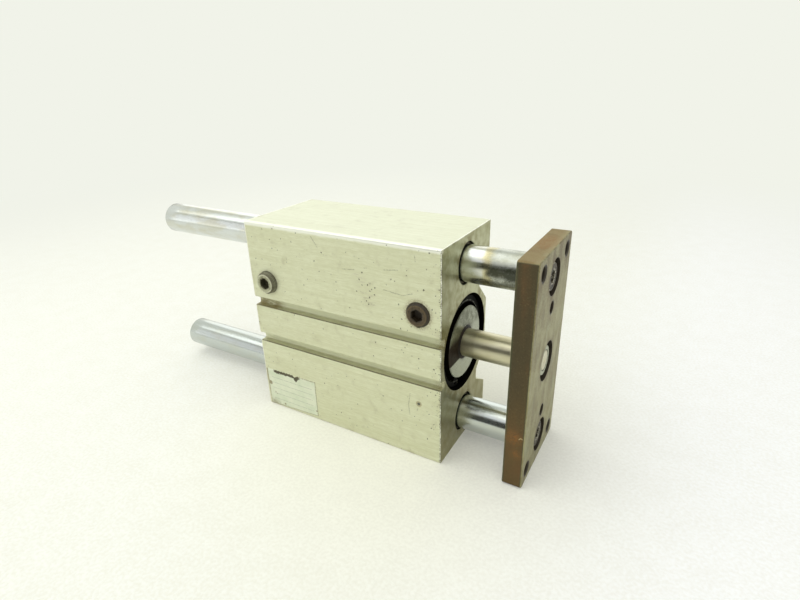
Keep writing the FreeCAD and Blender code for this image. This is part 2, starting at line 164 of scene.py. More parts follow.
class Finish(Graph):
    # one material: a Principled shader with constant sockets, and the nodes that vary the rest
    def __init__(self, name, **constants):
        self.material = bpy.data.materials.new(name)
        self.material.use_nodes = True
        super().__init__(self.material.node_tree)
        self.shader = self.tree.nodes["Principled BSDF"]
        for socket, value in constants.items():
            self.shader.inputs[socket.replace("_", " ")].default_value = value
        self.place = self.scaled(self.node("ShaderNodeTexCoord", output="Object"), perMetre)
        self.x = self.node("ShaderNodeSeparateXYZ", None, {0: self.place})
        self.y, self.z = self.x.other("Y"), self.x.other("Z")

    def combine(self, x, y, z):
        return self.node("ShaderNodeCombineXYZ", None, {0: x, 1: y, 2: z})

    def noise(self, scale, detail=2.0, rough=0.5, place=None):
        # scale is per millimetre: one number, or one for each axis to draw the pattern out
        place = place or self.place
        if isinstance(scale, tuple):
            place, scale = self.vector("MULTIPLY", place, scale), 1.0
        inputs = {"Vector": place, "Scale": scale, "Detail": detail, "Roughness": rough}
        return self.node("ShaderNodeTexNoise", None, inputs)

    def cells(self, place, scale=1.0):
        # distance from the nearest of many scattered points, and a number that goes with that point
        cell = self.node("ShaderNodeTexVoronoi", None, {"Vector": place, "Scale": scale})
        return cell, self.node("ShaderNodeSeparateXYZ", None, {0: cell.other("Color")})

    def warped(self, scale, amount):
        # the place pushed about by noise, by half the amount on average, so that shapes turn ragged
        push = self.noise(scale, detail=3.0, rough=0.7).other("Color")
        return self.node(
            "ShaderNodeVectorMath", {"operation": "MULTIPLY_ADD"}, {0: push, 1: (amount,) * 3, 2: self.place}
        )

    def blend(self, first, second, factor):
        # colours: the first where the factor is 0, the second where it is 1
        return self.node("ShaderNodeMix", {"data_type": "RGBA"}, {0: factor, 6: first, 7: second}, 2)

    def layers(self, base, *coats):
        # each coat is (colour, mask), laid over what is below it
        for colour, mask in coats:
            base = self.blend(base, colour, mask)
        return base

    def away(self, point):
        # distance from a point, in millimetres
        return self.vector("DISTANCE", self.place, point, "Value")

    def fromAxisX(self, y, z):
        # distance from a line along X
        flat = self.vector("MULTIPLY", self.place, (0, 1, 1))
        return self.vector("DISTANCE", flat, (0, y, z), "Value")

    def fromAxisY(self, x, z):
        flat = self.vector("MULTIPLY", self.place, (1, 0, 1))
        return self.vector("DISTANCE", flat, (x, 0, z), "Value")

    def fromSegment(self, start, end):
        # distance from the straight line between two points
        along = np.array(end) - np.array(start)
        offset = self.vector("SUBTRACT", self.place, tuple(start))
        share = self.vector("DOT_PRODUCT", offset, tuple(along / along.dot(along)), "Value")
        nearest = self.scaled(tuple(along), share.most(0.0).least(1.0))
        return self.vector("DISTANCE", offset, nearest, "Value")

    def fromEdge(self, low, high):
        # distance from the nearest edge of a box, for a point on its surface: the middle
        # one of its distances from the three pairs of faces
        gaps = []
        for axis, least, greatest in zip((self.x, self.y, self.z), low, high):
            gaps.append((greatest - least) / 2 - abs(axis - (greatest + least) / 2))
        return gaps[0].least(gaps[1]).most(gaps[0].most(gaps[1]).least(gaps[2]))

    def over(self, shader, mask):
        # lays another shader over what the surface has, where the mask is 1
        surface = self.tree.nodes["Material Output"].inputs["Surface"]
        below = Wire(self, surface.links[0].from_socket)
        mixed = self.node("ShaderNodeMixShader", None, {0: mask, 1: below, 2: shader})
        self.tree.links.new(mixed.socket, surface)

    def dull(self, colour):
        # a coat that hardly shines even at a low angle, for painted shade, a painted dark reflection and dark
        # stains
        return self.node(
            "ShaderNodeBsdfPrincipled", None,
            {"Base Color": colour, "Roughness": 0.8, "Specular IOR Level": 0.0},
        )

    def paint(self, colour=None, roughness=None, metallic=None, height=None, depth=0.00005, strength=1.0):
        # depth is the relief in metres where the height goes from 0 to 1
        wanted = {"Base Color": colour, "Roughness": roughness, "Metallic": metallic}
        for socket, value in wanted.items():
            if value is not None:
                self.feed(self.shader.inputs[socket], value)
        if height is not None:
            relief = {"Strength": strength, "Distance": depth, "Height": height}
            self.feed(self.shader.inputs["Normal"], self.node("ShaderNodeBump", None, relief))
        return self.material


# Finishes of the block


def anodisedBody():
    colours = tints(
        champagne=(215, 217, 186), shade=(190, 189, 151), pale=(231, 234, 211), sky=(236, 240, 238),
        milled=(190, 191, 155), milledShade=(152, 149, 103), bare=(242, 243, 233), groove=(226, 228, 200),
        olive=(128, 114, 68), grime=(66, 58, 36), soot=(15, 13, 9), rust=(118, 90, 56), pit=(46, 40, 26),
        brass=(150, 130, 84), silt=(166, 164, 130),
    )
    marks = {
        "pits": [(71, 153), (44, 132), (67, 129), (26, 125), (17, 119), (27, 116.5), (49, 116), (51, 106),
                 (50, 99), (46, 97), (-10, 142), (-17, 135), (63, 80), (74, 75), (72, 28), (69, 18),
                 (30, 84), (22, 133), (19.5, 128), (27.5, 121), (29, 122.5), (31, 119), (24.5, 113.5),
                 (26, 111.5), (31.5, 124)],
        "pitRadius": 0.40,
        "dent": (62.6, 44.8),
        "dentRadius": 1.3,
        "scratches": [((-18, 152), (-13, 145)), ((7, 133), (16, 134)), ((39, 137.5), (49, 139)),
                      ((38, 124), (52, 122.5)), ((52, 122.5), (59, 125)), ((61, 150), (61.4, 146.5)),
                      ((56, 51), (54.6, 42)), ((54.6, 42), (55.4, 34))],
        "scratchWidth": 0.30,
        "streak": ((frontX, -31.0, 98.0), (frontX, -27.5, 114.0)),
        "brown": ((20.0, nearY, 128.0), (28.0, nearY, 114.0)),
    }
    grooves = {"heights": (cylinderZ + 15.4, cylinderZ - 15.4), "half": 3.0, "lip": 1.5}
    bores = {"mouth": 34.6, "guide": 14.5}
    grooveBack = nearY + 6.2

    finish = Finish("anodisedBody", IOR=1.5)
    x, y, z = finish.x, finish.y, finish.z
    grain = finish.noise((0.17, 1.4, 1.4), detail=3.0, rough=0.7)
    brushed = finish.noise((0.014, 0.45, 0.45))
    speck = finish.noise(1.6)
    patch = finish.noise(0.10, detail=5.0, rough=0.62)
    middle, halfLength = (frontX + rearX) / 2, (frontX - rearX) / 2
    onEnd = abs(x - middle).rise(halfLength - 0.45, halfLength - 0.15)
    onNear = y.rise(nearY + 0.5, nearY + 0.15)
    onTop = z.rise(blockHigh[2] - 0.5, blockHigh[2] - 0.15)
    side = finish.layers(
        finish.blend(colours["shade"], colours["pale"], (grain * 0.8 + brushed * 0.4 - 0.1).rise(0.25, 0.80)),
        (colours["champagne"], 0.40 + 0.3 * patch),
        (colours["olive"], (patch * 0.75 + grain * 0.45).rise(0.62, 0.84) * 0.30),
        # painted light: the top face is paler than the sides
        (colours["sky"], onTop * 0.22),
    )

    # end faces: milled after the block was cut to length, so they shine more
    millMarks = finish.noise(1.4, place=finish.combine(finish.fromAxisX(-190.0, 60.0), 0.0, 0.0))
    worked = (patch * 1.2 + millMarks * 0.25).rise(0.5, 1.0)
    end = finish.blend(colours["milled"], colours["milledShade"], worked)
    fromCylinder = finish.fromAxisX(0.0, cylinderZ)
    fromGuides = finish.fromAxisX(0.0, upperRodZ).least(finish.fromAxisX(0.0, lowerRodZ))
    nearBore = (fromCylinder - bores["mouth"]).least(fromGuides - bores["guide"])
    smear = nearBore.rise(9.0, 0.0) * patch.rise(0.42, 0.62) * 0.6
    streak = finish.fromSegment(*marks["streak"]).rise(5.0, 0.0) * speck.rise(0.30, 0.75) * 0.7
    low = z.rise(cylinderZ, cylinderZ - 48.0) * 0.44
    end = finish.layers(end, (colours["olive"], low), (colours["olive"], smear), (colours["olive"], streak))
    surface = finish.blend(side, end, onEnd)

    # painted shade in the bore mouths: near-black and dull in the cylinder bore at the rod's end and in the
    # guide bores, only darkened at the cylinder bore's other end
    inBore = fromCylinder.rise(bores["mouth"] + 0.3, bores["mouth"])
    inGuide = fromGuides.rise(bores["guide"] + 0.2, bores["guide"])
    inGuide = inGuide * abs(x).rise(frontX - 0.3, frontX - 0.9)
    front = x.rise(-1.0, 1.0)
    surface = finish.blend(surface, colours["grime"], inBore * 0.75)
    finish.over(finish.dull(colours["soot"]), (inBore * front).most(inGuide * 0.9))
    for height in grooves["heights"]:
        floor = height - grooves["half"]
        inside = y.rise(nearY + 0.3, nearY + 1.2) * y.rise(grooveBack, grooveBack - 0.6)
        inside = inside * z.band(height, grooves["half"], grooves["half"] + 0.5)
        # painted shade on the groove's floor under the upper lip, mixed with silt
        onFloor = inside * z.rise(floor + 1.3, floor + 0.1)
        onFloor = onFloor * (0.62 + 0.38 * (patch * 0.5 + grain * 0.6).rise(0.4, 0.6))
        lip = finish.fromAxisX(nearY, floor).rise(grooves["lip"], 0.4) * z.rise(floor - 0.45, floor - 0.1)
        lip = lip * (grain * 0.6 + speck * 0.7).rise(0.30, 0.62)
        mouth = inside * x.rise(frontX - 9.0, frontX - 1.0) * (speck * 0.5 + patch * 0.6).rise(0.42, 0.62)
        surface = finish.layers(
            surface, (colours["groove"], inside * 0.7), (colours["silt"], onFloor * 0.85),
            (colours["olive"], mouth * 0.7), (colours["grime"], lip * 0.85),
        )
    stainEnd = x.rise(rearX + 28.0, rearX + 16.0) * z.band(grooves["heights"][0] - 1.0, 2.0, 4.5)
    stainEnd = stainEnd * y.rise(nearY - 0.5, nearY + 1.0) * y.rise(grooveBack, grooveBack - 0.6)
    stainEnd = stainEnd * (patch * 0.5 + grain * 0.6).rise(0.35, 0.6)
    surface = finish.blend(surface, colours["olive"], stainEnd * 0.8)
    for portX, amount in ((portFrontX, 0.65), (portRearX, 0.2)):
        fromPort = finish.fromAxisY(portX, portZ)
        bleed = fromPort.rise(ports["radius"] + 3.5, ports["radius"]) * onNear * speck.rise(0.28, 0.7)
        # painted shade on the port's wall round the plug
        wall = fromPort.rise(ports["radius"] + 0.5, ports["radius"]) * y.rise(nearY - 0.2, nearY)
        wall = wall * y.rise(0.0, -3.0)
        surface = finish.layers(surface, (colours["rust"], bleed * amount), (colours["soot"], wall * 0.85))

    # knocks: pits along the front edge, single pits, scratches and one dent
    push = 1.8
    ragged = finish.warped(1.0, push)
    cell, draw = finish.cells(ragged, scale=0.8)
    crowd = x.rise(frontX - 10.0, frontX - 1.0) * (1 - onEnd) * patch.rise(0.40, 0.60)
    pits = cell.rise(0.40, 0.22) * (draw + crowd * 0.26).rise(0.975, 0.99) * onNear
    sparse, sparseDraw = finish.cells(ragged, scale=0.16)
    pits = pits.most((sparse * 6.0).rise(0.50, 0.20) * onNear * sparseDraw.rise(0.80, 0.84))
    for pitX, pitZ in marks["pits"]:
        gap = finish.vector("DISTANCE", ragged, (pitX + push / 2, nearY + push / 2, pitZ + push / 2), "Value")
        pits = pits.most(gap.rise(marks["pitRadius"] * 1.8, marks["pitRadius"] * 0.9))
    brown = finish.fromSegment(*marks["brown"]).rise(9.0, 2.0) * grain.rise(0.45, 0.7)
    dentX, dentZ = marks["dent"]
    fromDent = finish.away((dentX, nearY, dentZ))
    # painted shade: the dent's hollow is near-black
    dent = fromDent.rise(marks["dentRadius"] * 1.05, marks["dentRadius"] * 0.8)
    ring = fromDent.band(marks["dentRadius"] * 1.35, 0.2, 0.7)
    gaps = [
        finish.fromSegment((startX, nearY, startZ), (stopX, nearY, stopZ))
        for (startX, startZ), (stopX, stopZ) in marks["scratches"]
    ]
    scratches = reduce(Wire.least, gaps).rise(marks["scratchWidth"] * 1.6, marks["scratchWidth"] * 0.3)
    scratches = scratches * speck.rise(0.30, 0.6)
    edge = finish.fromEdge(blockLow, blockHigh) + speck * 0.35 + patch * 0.9
    rubbed = edge.rise(1.25, 0.85)
    # painted highlight: a band along the near-top edge in the bare colour; elsewhere the bare colour marks
    # rubbed edges
    corner = finish.fromAxisX(nearY, blockHigh[2]) + patch * 1.2
    polished = corner.rise(4.2, 2.4)
    chips = (x + (speck - 0.5) * 3.0).rise(frontX - 0.9, frontX - 0.4) * y.rise(nearY + 1.2, nearY + 0.6)
    chips = chips * (patch * 0.6 + speck * 0.6).rise(0.56, 0.66)
    soiled = edge.rise(4.0, 1.5) * patch.rise(0.45, 0.7) * 0.22
    colour = finish.layers(
        surface, (colours["olive"], soiled), (colours["rust"], brown * 0.30),
        (colours["bare"], rubbed.most(polished) * 0.85), (colours["grime"], chips * 0.65),
        (colours["pit"], pits * 0.85), (colours["brass"], ring * 0.6), (colours["soot"], dent * 0.85),
        (colours["grime"], scratches * 0.5),
    )
    roughness = 0.44 + 0.12 * grain - 0.14 * onEnd + 0.10 * smear - 0.12 * rubbed.most(polished)
    metallic = (0.35 + 0.5 * onEnd + 0.4 * rubbed.most(polished * 0.6)) * (1 - dent.most(pits))
    height = grain * 0.3 + millMarks * onEnd * 0.3 + speck * 0.08 - pits - dent * 2.0 - scratches * 0.7
    return finish.paint(colour, roughness, metallic, height, depth=0.00012, strength=0.7)


def turnedAluminium():
    # covers: turned faces with fine rings, dull and stained above the rod
    colours = tints(
        grey=(150, 154, 136), light=(169, 173, 153), stain=(92, 94, 70), soot=(15, 13, 9), oil=(56, 45, 40),
    )
    hub = {"radius": 25.8, "rod": 10.0, "face": boxInMillimetres("front_cover")[1][0]}
    finish = Finish("turnedAluminium", IOR=1.5)
    y, z = finish.y, finish.z
    radius = finish.fromAxisX(0.0, cylinderZ)
    rings = finish.noise(3.2, detail=3.0, rough=0.7, place=finish.combine(radius, 0.0, 0.0))
    patch = finish.noise(0.22, detail=4.0, rough=0.65)
    speck = finish.noise(1.8)
    upper = z.rise(cylinderZ + 5.0, cylinderZ + 12.0)
    mottle = (upper * 0.8 + 0.06) * (patch * 0.7 + speck * 0.5).rise(0.42, 0.70)
    atFront = finish.x.rise(-1.0, 1.0)
    # a painted dark reflection lies beside the rod, on the near half of the hub, in the oil colour
    wiped = z.rise(cylinderZ - 9.4, cylinderZ - 8.2) * z.rise(cylinderZ + 13.0, cylinderZ + 5.0)
    wiped = wiped * y.rise(-3.0, -8.0) * atFront * (0.9 + 0.2 * patch)
    nearRod = radius.rise(hub["rod"] + 5.0, hub["rod"] + 2.0) * speck.rise(0.3, 0.6) * atFront
    # painted shade: at the rod's end, what is set back from the hub's face or lies outside the hub is
    # near-black and dull
    sunk = finish.x.rise(hub["face"] - 0.35, hub["face"] - 0.8)
    recess = sunk.most(radius.rise(hub["radius"] - 0.1, hub["radius"] + 0.15)) * atFront
    colour = finish.layers(
        finish.blend(colours["grey"], colours["light"], rings), (colours["stain"], mottle * 0.75),
        (colours["oil"], nearRod * 0.6),
    )
    finish.over(finish.dull(colours["oil"]), wiped * 0.94)
    finish.over(finish.dull(colours["soot"]), recess)
    roughness = 0.22 + 0.10 * rings + 0.22 * mottle
    metallic = 1.0 - 0.35 * mottle
    return finish.paint(colour, roughness, metallic, rings + speck * 0.3, depth=0.00003)


def springSteel():
    # phosphated retaining rings, oily, with bright rubs on their edges
    colours = tints(black=(15, 14, 11), worn=(112, 112, 98), dust=(46, 40, 27))
    rubs = {"inner": 29.2, "outer": 33.9}
    finish = Finish("springSteel", IOR=1.5, Specular_IOR_Level=0.01)
    speck = finish.noise(1.2, detail=3.0)
    radius = finish.fromAxisX(0.0, cylinderZ)
    inner, outer = radius.band(rubs["inner"], 0.2, 0.6), radius.band(rubs["outer"], 0.1, 0.4)
    worn = (inner * 0.9).most(outer * 0.5) * speck.rise(0.38, 0.62)
    dust = finish.noise(0.35, detail=4.0).rise(0.5, 0.75)
    colour = finish.layers(colours["black"], (colours["dust"], dust * 0.6), (colours["worn"], worn * 0.8))
    return finish.paint(colour, 0.38 + 0.25 * dust, 0.8 * worn, speck, depth=0.00004)


def rubber(name, colour, dusty):
    finish = Finish(name, IOR=1.5)
    speck = finish.noise(2.5, detail=3.0)
    patch = finish.noise(0.5, detail=3.0)
    shown = finish.layers(colour, (dusty, patch.rise(0.4, 0.75) * 0.5), (dusty, speck.rise(0.6, 0.8) * 0.3))
    return finish.paint(shown, 0.5 + 0.25 * patch, 0.0, speck, depth=0.00004)


def bearingMetal(name, colour, dark):
    # bushes, bands and other turned inner parts: faint lathe rings along X
    finish = Finish(name, IOR=1.5)
    rings = finish.noise((2.4, 0.05, 0.05))
    patch = finish.noise(0.3, detail=3.0)
    shown = finish.blend(colour, dark, (patch * 0.9 + rings * 0.2).rise(0.4, 0.8))
    return finish.paint(shown, 0.34 + 0.2 * patch, 0.9, rings, depth=0.00002)


def mouldedPlastic(name, colour, pale):
    finish = Finish(name, IOR=1.5)
    patch = finish.noise(0.4, detail=3.0)
    speck = finish.noise(3.0)
    shown = finish.blend(colour, pale, patch.rise(0.3, 0.8) * 0.5)
    return finish.paint(shown, 0.42 + 0.15 * speck, 0.0, speck, depth=0.00003)


# Finishes of the rods


def groundChrome(name, height, base, warm, dulled, stained, patchFrom, patchTo, amount, matte=0.0):
    # hard chrome ground round the rod, so that what it mirrors is drawn out along the rod; between
    # patchFrom and patchTo the chrome is tarnished, most of all level with the axis
    finish = Finish(name, IOR=1.5)
    x = finish.x
    ground = finish.noise((3.4, 0.02, 0.02), rough=0.7)
    rubs = finish.noise((0.012, 0.9, 0.9), detail=3.0, rough=0.6)
    film = finish.noise((0.05, 0.14, 0.14), detail=3.0)
    cloud = finish.noise((0.09, 0.13, 0.13), detail=3.0, rough=0.55)
    fine = finish.noise(0.9, detail=4.0, rough=0.75)
    wander = (cloud - 0.5) * 10.0
    border = (x + wander).band(patchFrom + 2.0, 0.5, 4.5) * amount
    stretch = (x + wander).rise(patchFrom, patchFrom + 5.0) * x.rise(patchTo + 3.0, patchTo) * amount
    haze = stretch * (0.70 + 0.30 * (cloud * 0.6 + fine * 0.5).rise(0.42, 0.66))
    facing = finish.z.rise(height + 7.0, height + 3.0) * 0.14 + finish.z.band(height + 1.5, 1.5, 5.0) * 0.12
    crust = stretch * (cloud * 0.50 + fine * 0.42 + facing).rise(0.44, 0.80)
    flecks = stretch * fine.rise(0.58, 0.70)
    colour = finish.layers(
        base, (warm, film.rise(0.4, 0.7) * 0.35), (dulled, haze * 0.6), (warm, border * 0.7),
        (base, flecks * 0.4),
    )
    finish.over(finish.dull(stained), crust * 0.9)
    roughness = 0.16 + matte + 0.04 * ground + 0.06 * rubs.rise(0.45, 0.75) + 0.12 * haze
    metallic = 1.0 - 0.1 * haze
    relief = ground + 0.03 * rubs + 0.8 * haze * fine
    return finish.paint(colour, roughness, metallic, relief, depth=0.000035)


# Finishes of steel parts


def plateSteel():
    # a ground front face under a thin brown film; the sawn edges are rusted dark brown
    colours = tints(
        dark=(70, 60, 34), brown=(94, 74, 38), red=(108, 70, 36),
        olive=(70, 72, 48), black=(40, 36, 26), orange=(150, 98, 44),
        worn=(162, 158, 120), khaki=(136, 127, 84), green=(170, 174, 140),
        tan=(140, 120, 84), hole=(44, 36, 24), bright=(200, 180, 132),
    )
    holes = {
        "corners": (25.8, 68.25), "cornerMouth": 5.4, "drill": 4.25, "dowels": 37.8, "dowel": 4.4,
        "guide": 11.8, "centre": 13.5, "pitch": 1.5,
    }
    front, side, topFace = plateHigh[0], plateLow[1], plateHigh[2]
    marks = {
        "scar": ((131.6, side, 39.0), (132.6, side, 40.4), (133.7, side, 39.8)),
        "glow": ((128.0, side, 40.0), (129.9, side, 27.0)),
    }
    finish = Finish("plateSteel", IOR=1.5)
    x, y, z = finish.x, finish.y, finish.z
    blotch = finish.noise(0.09, detail=5.0, rough=0.60)
    fine = finish.noise(1.1, detail=4.0, rough=0.7)
    drift = finish.noise((0.10, 0.10, 0.022), detail=3.0)
    smear = finish.noise((0.16, 0.13, 0.075), detail=5.0, rough=0.65)
    bare = x.rise(front - 0.9, front - 0.35)
    top = z.rise(topFace - 1.2, topFace - 0.5)
    edge = finish.fromEdge(plateLow, plateHigh) + fine * 0.8
    low = z.rise(topFace - 40.0, plateLow[2] + 20.0)
    high = z.rise(topFace - 55.0, topFace - 15.0)
    midway = y.band(4.0, 6.0, 20.0)

    rust = finish.layers(
        finish.blend(colours["dark"], colours["brown"], (drift * 0.6 + low * 0.45).rise(0.25, 0.80)),
        (colours["red"], (drift * 0.8 + blotch * 0.3 + low * 0.12).rise(0.58, 0.85) * 0.55),
        (colours["olive"], edge.rise(2.2, 1.0) * 0.75), (colours["black"], fine.rise(0.54, 0.74) * 0.45),
        (colours["khaki"], fine.rise(0.42, 0.30) * 0.22),
    )
    # the top face is painted lighter than the sawn sides, for the light from above, with rust blotches over
    # it
    roof = finish.layers(
        finish.blend(colours["tan"], colours["khaki"], fine.rise(0.35, 0.7)),
        (colours["brown"], (blotch * 0.7 + fine * 0.4).rise(0.50, 0.70) * 0.35),
        (colours["orange"], (blotch * 0.3 + fine * 0.7 + midway * 0.10).rise(0.50, 0.72) * 0.5),
        (colours["green"], x.rise(front - 5.0, front) * blotch.rise(0.35, 0.6) * 0.4),
    )
    face = finish.layers(
        finish.blend(colours["worn"], colours["khaki"], (smear * 0.8 + fine * 0.25).rise(0.42, 0.70)),
        (colours["green"], blotch.rise(0.50, 0.66) * 0.50), (colours["khaki"], fine.rise(0.52, 0.70) * 0.35),
        (colours["brown"], (drift * 0.5 + fine * 0.3 + blotch * 0.35).rise(0.54, 0.70) * 0.55),
        (colours["brown"], high * (smear * 0.5 + fine * 0.5).rise(0.3, 0.6) * 0.5),
    )
    behind = x.rise(plateLow[0] + 0.5, plateLow[0] + 0.1)
    surface = finish.layers(rust, (roof, top), (face, bare.most(behind * 0.5)))

    # holes: distances from their axes, mirrored about both middle planes
    mirrored = finish.vector("SUBTRACT", finish.place, (0, 0, cylinderZ))
    mirrored = finish.vector("MULTIPLY", finish.vector("ABSOLUTE", mirrored, (0, 0, 0)), (0, 1, 1))
    corners = finish.vector("DISTANCE", mirrored, (0, *holes["corners"]), "Value")
    dowels = finish.vector("DISTANCE", mirrored, (0, 0, holes["dowels"]), "Value")
    guides = finish.vector("DISTANCE", mirrored, (0, 0, upperRodZ - cylinderZ), "Value")
    centre = finish.fromAxisX(0.0, cylinderZ)
    outside = (centre - holes["centre"]).least(guides - holes["guide"])
    outside = outside.least(corners - holes["cornerMouth"]).least(dowels - holes["dowel"])
    inHole = outside.rise(0.12, 0.0)
    lip = outside.rise(1.2, 0.2) * bare * fine.rise(0.35, 0.6)
    stain = outside.rise(7.0, 0.0) * smear.rise(0.40, 0.62) * bare
    threads = (x * (2 * math.pi / holes["pitch"])).sine() * 0.5 + 0.5
    inThread = corners.rise(holes["drill"] + 0.75, holes["drill"] + 0.35)
    scarStart, scarTop, scarEnd = marks["scar"]
    scar = finish.fromSegment(scarStart, scarTop).least(finish.fromSegment(scarTop, scarEnd)).rise(0.42, 0.10)
    glow = finish.away(marks["glow"][0]).least(finish.away(marks["glow"][1]) + 2.5)
    glow = (glow + (blotch - 0.5) * 10.0).rise(8.0, 1.0) * (fine + drift * 0.3).rise(0.56, 0.76)
    colour = finish.layers(
        surface, (colours["brown"], stain * 0.45), (colours["orange"], glow * 0.6),
        (colours["hole"], inHole * 0.95), (colours["hole"], lip * 0.45), (colours["bright"], scar * 0.75),
    )
    shine = bare.most(scar)
    roughness = 0.64 + 0.16 * fine - 0.26 * shine
    metallic = (0.15 + 0.45 * shine) * (1 - inHole * 0.5)
    height = fine * (1.0 - 0.5 * bare) + blotch * 0.4 + inThread * threads * 3.0
    return finish.paint(colour, roughness, metallic, height, depth=0.00009)


def plugSteel(name, x, face, crest, grime, metal):
    # hexagon-socket plug: bright crests and rim, dirt in blotches, and painted shade in the thread roots and
    # in the socket
    plug = {"root": 6.9, "crest": 8.2, "rim": 6.7, "socket": 4.3}
    finish = Finish(name, IOR=1.5)
    blotch = finish.noise(0.45, detail=5.0, rough=0.65)
    fine = finish.noise(2.2, detail=3.0)
    radius = finish.fromAxisY(x, portZ)
    # painted shade in the thread: darkest in the roots
    root = radius.rise(plug["root"], plug["root"] + 0.4)
    root = root * (0.65 + 0.35 * radius.rise(plug["crest"], plug["crest"] - 0.5))
    rim = radius.band(plug["rim"], 0.25, 0.7)
    colour = finish.layers(
        finish.blend(face, grime, blotch.rise(0.44, 0.68) * 0.7), (crest, rim * fine.rise(0.30, 0.60) * 0.8),
        (grime, root * 0.8), (grime, fine.rise(0.58, 0.75) * 0.5),
        # painted shade in the socket
        (grime, radius.rise(plug["socket"] + 0.4, plug["socket"]) * 0.8),
    )
    roughness = 0.42 + 0.25 * blotch - 0.1 * metal
    return finish.paint(colour, roughness, metal * (1.0 - 0.5 * root), fine + blotch * 0.6, depth=0.00008)


def screwSteel():
    # blackened cap screws in the plate, rusty with bright high spots
    colours = tints(black=(44, 40, 32), rust=(88, 70, 44), bright=(206, 202, 184))
    floor = plateHigh[0] - 8.0
    head = {"rim": 8.7, "socket": 4.6}
    finish = Finish("screwSteel", IOR=1.5)
    x = finish.x
    blotch = finish.noise(0.4, detail=4.0, rough=0.65)
    fine = finish.noise(1.4, detail=4.0, rough=0.7)
    guides = finish.fromAxisX(0.0, upperRodZ).least(finish.fromAxisX(0.0, lowerRodZ))
    edges = guides.band(head["rim"], 0.2, 0.6).most(guides.band(head["socket"], 0.2, 0.7))
    edges = edges * x.rise(floor, floor + 4) * fine.rise(0.42, 0.58)
    bright = ((fine * 0.8 + blotch * 0.3).rise(0.60, 0.70) * x.rise(floor + 5, floor + 6.6)).most(edges)
    colour = finish.layers(
        colours["black"], (colours["rust"], blotch.rise(0.4, 0.65) * 0.6), (colours["bright"], bright),
    )
    return finish.paint(colour, 0.42 + 0.2 * fine - 0.12 * bright, 0.5 + 0.5 * bright, fine, depth=0.00008)


def nutSteel():
    # the round nut and the rod's end inside it, turned and lightly stained
    colours = tints(
        steel=(184, 188, 166), dark=(130, 126, 96), rust=(134, 104, 66), joint=(40, 34, 24),
    )
    finish = Finish("nutSteel", IOR=1.5)
    radius = finish.fromAxisX(0.0, cylinderZ)
    rings = finish.noise(2.2, detail=3.0, place=finish.combine(radius, 0.0, 0.0))
    patch = finish.noise(0.3, detail=4.0, rough=0.6)
    joint = radius.band(7.05, 0.15, 0.45)
    colour = finish.layers(
        finish.blend(colours["steel"], colours["dark"], (patch * 0.8 + rings * 0.3).rise(0.45, 0.85)),
        (colours["rust"], patch.rise(0.55, 0.75) * 0.5), (colours["joint"], joint * 0.7),
    )
    return finish.paint(colour, 0.36 + 0.2 * patch, 0.7 - 0.4 * joint, rings - joint, depth=0.00004)


def labelPaper(low, high):
    # a bare sticker: pale film with faint empty rules, dirt at its lower left and a torn upper edge
    colours = tints(
        paper=(221, 225, 204), cool=(207, 215, 191), rule=(140, 146, 132),
        dirt=(118, 98, 54), residue=(58, 46, 20),
    )
    rules = {"heights": (6.0, 11.0, 16.0, 21.0, 26.0), "start": 4.0, "end": 45.0, "half": 0.14}
    spots = ((1.6, 20.0, 2.4), (5.8, 12.0, 0.8), (7.2, 10.6, 0.6), (48.2, 7.0, 1.0), (15.0, 3.0, 1.2))
    finish = Finish("labelPaper", IOR=1.45)
    across, up = finish.x - low[0], finish.z - low[1]
    width, height = high[0] - low[0], high[1] - low[1]
    patch = finish.noise(0.14, detail=4.0, rough=0.6)
    fine = finish.noise(1.4, detail=3.0)
    lines = [up.band(ruleHeight, rules["half"], rules["half"] * 2.2) for ruleHeight in rules["heights"]]
    lines = reduce(Wire.most, lines) * across.rise(rules["start"] - 0.4, rules["start"])
    lines = lines * across.rise(rules["end"] + 0.4, rules["end"])
    border = across.least(width - across).least(up - across * 0.049)
    dirt = (border + fine * 1.4 + patch * 1.2).rise(2.1, 1.3)
    corner = (across * 0.35 + up).rise(9.0, 1.5) * (patch * 0.5 + fine * 0.6).rise(0.45, 0.65)
    for spotX, spotZ, size in spots:
        gap = finish.away((low[0] + spotX, nearY, low[1] + spotZ)) + (fine - 0.5) * 2.0
        dirt = dirt.most(gap.rise(size, size * 0.5))
    ragged = (finish.noise((0.4, 0.0, 0.4), detail=3.0, rough=0.75) - 0.5) * 5.0
    notch = across.band(29.5, 0.8, 2.4) * 2.2
    tear = (up - height + 3.2 + ragged + notch).rise(0.0, 0.35)
    tear = tear * across.rise(6.0, 7.5) * across.rise(35.0, 32.0)
    line = (up - height).rise(-1.3, -0.5) * across.rise(30.0, 33.0) * fine.rise(0.35, 0.55)
    colour = finish.layers(
        finish.blend(colours["paper"], colours["cool"], patch.rise(0.3, 0.7)),
        (colours["rule"], lines * fine.rise(0.3, 0.55) * 0.6), (colours["dirt"], dirt * 0.75),
        (colours["dirt"], corner * 0.65), (colours["residue"], tear * 0.92), (colours["dirt"], line * 0.7),
    )
    roughness = 0.42 + 0.2 * patch + 0.2 * tear
    return finish.paint(colour, roughness, 0.0, patch * 0.6 + fine * 0.2 + tear, depth=0.00008)


# Surfaces worked out on a grid: rows run along the profile, columns run round the axis


def newMesh(name, points, faces):
    # points are in millimetres
    mesh = bpy.data.meshes.new(name)
    mesh.from_pydata((np.array(points) / perMetre).tolist(), [], faces)
    mesh.update()
    return mesh


def newObject(name, data):
    made = bpy.data.objects.new(name, data)
    bpy.context.scene.collection.objects.link(made)
    return made


